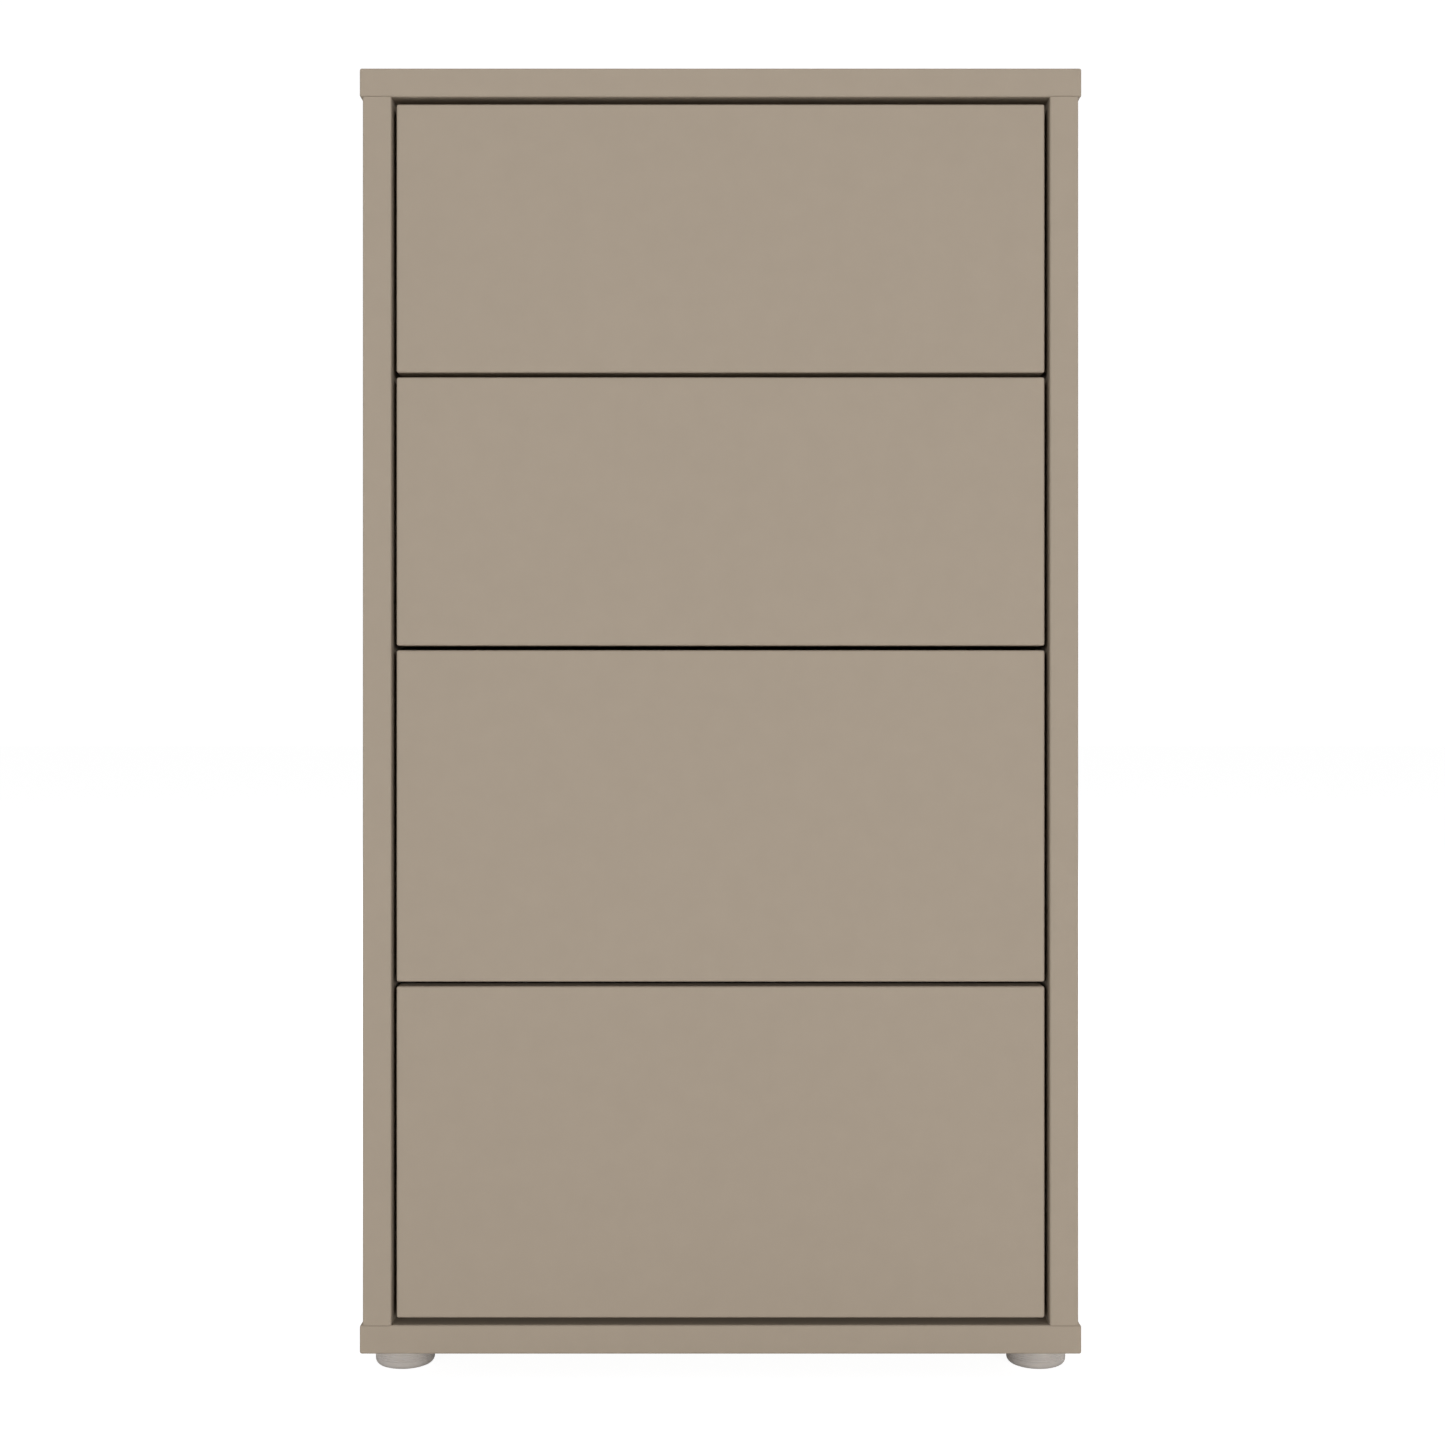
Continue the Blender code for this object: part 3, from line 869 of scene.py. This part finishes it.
def make_slide(number, side, sign, finishes, parts):
    slide = Slide(number, side, sign)
    drawer = f"drawer_{number}"
    half_steel = STEEL / 2

    near, _, half, first, last = slide.measures("cabinet_member")
    web = near + half_steel
    outer_balls = half - half_steel - BALL_RACE_RADIUS
    path = cabinet_member_path(web, half - half_steel, outer_balls)
    cutters = [
        slide.hole(web, first + spot, SCREW_RADIUS + POCKET_CLEARANCE) for spot in SCREW_SPOTS
    ]
    cutters += [slide.hole(web, first + spot, SPARE_HOLE_RADIUS) for spot in SPARE_HOLE_SPOTS]
    node = f"{slide.name}_cabinet_member"
    mesh = carved(slide.strip(path, first, last), cutters, node, STEEL)
    finish_piece(f"{node}_channel", mesh, "carcass", finishes["steel"], (node,))
    spots = [
        (slide.at(near + STEEL, first + spot, 0), (slide.inward, 0, 0)) for spot in SCREW_SPOTS
    ]
    screws = repeated(parts["screw"], spots, "screws")
    finish_piece(f"{node}_screws", screws, "carcass", finishes["fitting"])
    cage_web = near + STEEL + OUTER_CAGE_GAP

    near, _, half, first, last = slide.measures("middle_member")
    web = near + half_steel
    inner_balls = half - half_steel - BALL_RACE_RADIUS
    path = middle_member_path(web, half - half_steel, inner_balls)
    cutters = [
        slide.hole(web, first + spot, MIDDLE_SLOT_HALF_WIDTH, MIDDLE_SLOT_LENGTH)
        for spot in MIDDLE_SLOT_SPOTS
    ]
    node = f"{slide.name}_middle_member"
    mesh = carved(slide.strip(path, first, last), cutters, node, STEEL)
    finish_piece(f"{node}_channel", mesh, slide.name, finishes["steel"], (node,))
    make_cage(
        slide,
        "outer",
        cage_web,
        OUTER_BALL_DEPTH,
        outer_balls,
        OUTER_BALL_DEPTH + CAGE_REACH,
        last - CAGE_END - CAGE_LENGTH,
        finishes,
        parts["ball"],
    )
    make_cage(
        slide,
        "inner",
        near + STEEL + INNER_CAGE_GAP,
        INNER_BALL_DEPTH,
        inner_balls + INNER_BALL_LIFT,
        INNER_BALL_DEPTH + CAGE_REACH,
        first + CAGE_END,
        finishes,
        parts["ball"],
    )

    mouth, far, half, first, last = slide.measures("drawer_member")
    web = far - half_steel
    path = drawer_member_path(web, half - half_steel, mouth)
    cutters = [slide.hole(web, first + spot, SPARE_HOLE_RADIUS) for spot in SPARE_HOLE_SPOTS]
    node = f"{slide.name}_drawer_member"
    mesh = carved(slide.strip(path, first, last), cutters, node, STEEL)
    finish_piece(f"{node}_channel", mesh, drawer, finishes["steel"], (node,))
    head_face = far - STEEL - HEAD_HEIGHT
    spots = [
        (slide.at(head_face, first + spot, 0), (-slide.inward, 0, 0)) for spot in SCREW_SPOTS
    ]
    screws = repeated(parts["screw"], spots, "screws")
    finish_piece(f"{node}_screws", screws, drawer, finishes["fitting"])
    if side == "left":
        make_latch(slide, number, far - STEEL, finishes)


def make_latch(slide, number, web_face, finishes):
    """The latch's plastic body with its slot and grooves, and the riveted pin that runs in it."""
    node = f"push_latch_{number}"
    low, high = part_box(node)
    bm = block(low, high)
    round_edges(bm, bm.edges[:], LATCH_ROUNDING, steps=3)
    deep = slide.at(LATCH_SLOT_FLOOR, low[1] - LATCH_WALL, -LATCH_SLOT_HALF)
    shallow = slide.at(2 * web_face, high[1] - LATCH_WALL, LATCH_SLOT_HALF)
    corners = [sorted(pair) for pair in zip(deep, shallow)]
    slot = block([pair[0] for pair in corners], [pair[1] for pair in corners])
    grooves = []
    for step in range(LATCH_GROOVES):
        y = low[1] + LATCH_GROOVE_START + step * LATCH_GROOVE_PITCH
        for edge, outward in ((low[2], -1), (high[2], 1)):
            z = sorted((edge + outward * CUT_OVERRUN, edge - outward * LATCH_GROOVE_DEPTH))
            near_corner = (low[0] - CUT_OVERRUN, y, z[0])
            far_corner = (high[0] + CUT_OVERRUN, y + LATCH_GROOVE_LENGTH, z[1])
            grooves.append(block(near_corner, far_corner))
    mesh = carved(bm, [slot] + grooves, node)
    finish_piece(f"{node}_body", mesh, "carcass", finishes["latch"], (node,))

    length = web_face - PIN_DEPTH + STEEL / 2
    pin = disc(PIN_RADIUS, -length, 0.0)
    tip = [edge for edge in pin.edges if all(vert.co.z > -length / 2 for vert in edge.verts)]
    round_edges(pin, tip, PIN_ROUNDING, steps=3)
    place = slide.at(PIN_DEPTH, high[1] - PIN_FROM_END, 0)
    mesh = repeated(to_mesh(pin, "pin"), [(place, (-slide.inward, 0, 0))], "pin")
    finish_piece(
        f"{slide.name}_latch_pin", mesh, f"drawer_{number}", finishes["fitting"]
    )


def ball_shape():
    bm = bmesh.new()
    bmesh.ops.create_uvsphere(bm, u_segments=BALL_SEGMENTS, v_segments=BALL_RINGS, radius=BALL_RADIUS)
    return to_mesh(bm, "ball")


# Feet ------------------------------------------------------------------------------------------


def foot_outline(radius, height):
    """The turned profile, from the top face's middle down the ribbed wall to the hole's roof."""
    pitch = (height - FOOT_ROUNDING - FOOT_PLAIN) / FOOT_RIBS
    outline = [(0.0, height), (radius - FOOT_CHAMFER, height), (radius, height - FOOT_CHAMFER)]
    floor_start, floor_end, groove_end = (share * pitch for share in FOOT_GROOVE_SHARES)
    for rib in range(FOOT_RIBS):
        top = height - FOOT_TOP_LIP - rib * pitch
        outline += [
            (radius, top),
            (radius - FOOT_RIB_DEPTH, top - floor_start),
            (radius - FOOT_RIB_DEPTH, top - floor_end),
            (radius, top - groove_end),
        ]
    outline += arc((radius - FOOT_ROUNDING, FOOT_ROUNDING), FOOT_ROUNDING, 0, -90, FOOT_ROUNDING_STEPS)
    outline += [
        (FOOT_HOLE_RADIUS + FOOT_CHAMFER, 0.0),
        (FOOT_HOLE_RADIUS, FOOT_CHAMFER),
        (FOOT_HOLE_RADIUS, FOOT_HOLE_DEPTH),
        (0.0, FOOT_HOLE_DEPTH),
    ]
    return outline


def make_foot(node, finishes, parts):
    """A turned plastic glide, screwed on through a hole in its underside."""
    low, high = (Vector(corner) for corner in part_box(node))
    middle = (low + high) / 2
    bm = bmesh.new()
    outline = foot_outline((high.x - low.x) / 2, high.z - low.z)
    verts = [bm.verts.new((x, 0.0, z)) for x, z in outline]
    chain = [bm.edges.new(pair) for pair in zip(verts, verts[1:])]
    bmesh.ops.spin(
        bm,
        geom=verts + chain,
        cent=(0, 0, 0),
        axis=(0, 0, 1),
        angle=math.tau,
        steps=FOOT_STEPS,
        use_merge=True,
        use_duplicate=False,
    )
    bmesh.ops.remove_doubles(bm, verts=bm.verts, dist=MERGE_DISTANCE)
    bmesh.ops.recalc_face_normals(bm, faces=bm.faces)
    bmesh.ops.translate(bm, vec=(middle.x, middle.y, low.z), verts=bm.verts)
    mesh = to_mesh(bm, node)
    finish_piece(f"{node}_glide", mesh, "carcass", finishes["foot"], (node,))
    head_face = low.z + FOOT_HOLE_DEPTH - HEAD_HEIGHT
    screw = repeated(parts["screw"], [((middle.x, middle.y, head_face), (0, 0, -1))], "screw")
    finish_piece(f"{node}_screw", screw, "carcass", finishes["steel"])


# Stage -----------------------------------------------------------------------------------------


def make_floor():
    bm = bmesh.new()
    bmesh.ops.create_grid(bm, x_segments=1, y_segments=1, size=FLOOR_HALF_SIZE)
    bmesh.ops.translate(bm, vec=(0, 0, -FLOOR_GAP), verts=bm.verts)
    floor = bpy.data.objects.new("floor", to_mesh(bm, "floor"))
    bpy.context.collection.objects.link(floor)
    material = bpy.data.materials.new("floor_white")
    material.use_nodes = True
    tree = material.node_tree
    shader = tree.nodes["Principled BSDF"]
    shader.inputs["Base Color"].default_value = (FLOOR_TONE, FLOOR_TONE, FLOOR_TONE, 1.0)
    shader.inputs["Roughness"].default_value = 0.9
    shader.inputs["Specular IOR Level"].default_value = 0.0
    glow = tree.nodes.new("ShaderNodeEmission")
    glow.inputs["Strength"].default_value = FLOOR_GLOW
    path = tree.nodes.new("ShaderNodeLightPath")
    blend = tree.nodes.new("ShaderNodeMixShader")
    part = tree.nodes.new("ShaderNodeMath")
    part.operation = "MULTIPLY"
    part.inputs[1].default_value = FLOOR_GLOW_SHARE
    tree.links.new(path.outputs["Is Camera Ray"], part.inputs[0])
    tree.links.new(part.outputs["Value"], blend.inputs["Fac"])
    tree.links.new(shader.outputs["BSDF"], blend.inputs[1])
    tree.links.new(glow.outputs["Emission"], blend.inputs[2])
    tree.links.new(blend.outputs["Shader"], tree.nodes["Material Output"].inputs["Surface"])
    floor.data.materials.append(material)


def make_world():
    world = bpy.data.worlds.new("studio")
    bpy.context.scene.world = world
    world.use_nodes = True
    tree = world.node_tree
    background = tree.nodes["Background"]
    background.inputs["Color"].default_value = (1.0, 1.0, 1.0, 1.0)
    path = tree.nodes.new("ShaderNodeLightPath")
    strength = tree.nodes.new("ShaderNodeMapRange")
    strength.inputs["To Min"].default_value = WORLD_LIGHT
    strength.inputs["To Max"].default_value = WORLD_SEEN
    tree.links.new(path.outputs["Is Camera Ray"], strength.inputs["Value"])
    tree.links.new(strength.outputs["Result"], background.inputs["Strength"])


def make_light(name, place, target, size, power):
    light = bpy.data.lights.new(name, "AREA")
    light.shape = "SQUARE"
    light.size = size
    light.energy = power
    lamp = bpy.data.objects.new(name, light)
    lamp.location = place
    lamp.rotation_euler = (Vector(target) - Vector(place)).to_track_quat("-Z", "Y").to_euler()
    bpy.context.collection.objects.link(lamp)


def make_camera():
    data = bpy.data.cameras.new("camera")
    data.lens = LENS
    data.sensor_width = SENSOR_WIDTH
    camera = bpy.data.objects.new("camera", data)
    camera.location = (CAMERA_SIDE, cad_box[0][1] - CAMERA_DISTANCE, CAMERA_HEIGHT)
    camera.rotation_euler = (math.radians(90), 0, 0)
    bpy.context.collection.objects.link(camera)
    bpy.context.scene.camera = camera


def main():
    bpy.context.scene.view_settings.view_transform = "Standard"
    make_world()
    make_floor()
    for light in LIGHTS:
        make_light(*light)
    make_camera()
    finishes = make_finishes()
    parts = {
        "cam": cam_head(),
        "screw": screw_head(SCREW_RADIUS),
        "small_screw": screw_head(SMALL_SCREW_RADIUS),
        "ball": ball_shape(),
    }
    make_carcass(finishes, parts)
    for node in ("foot_front_left", "foot_front_right", "foot_rear_left", "foot_rear_right"):
        make_foot(node, finishes, parts)
    for number in DRAWERS:
        make_drawer_boards(number, finishes, parts)
        for side, sign in SIDES:
            make_slide(number, side, sign, finishes, parts)


main()
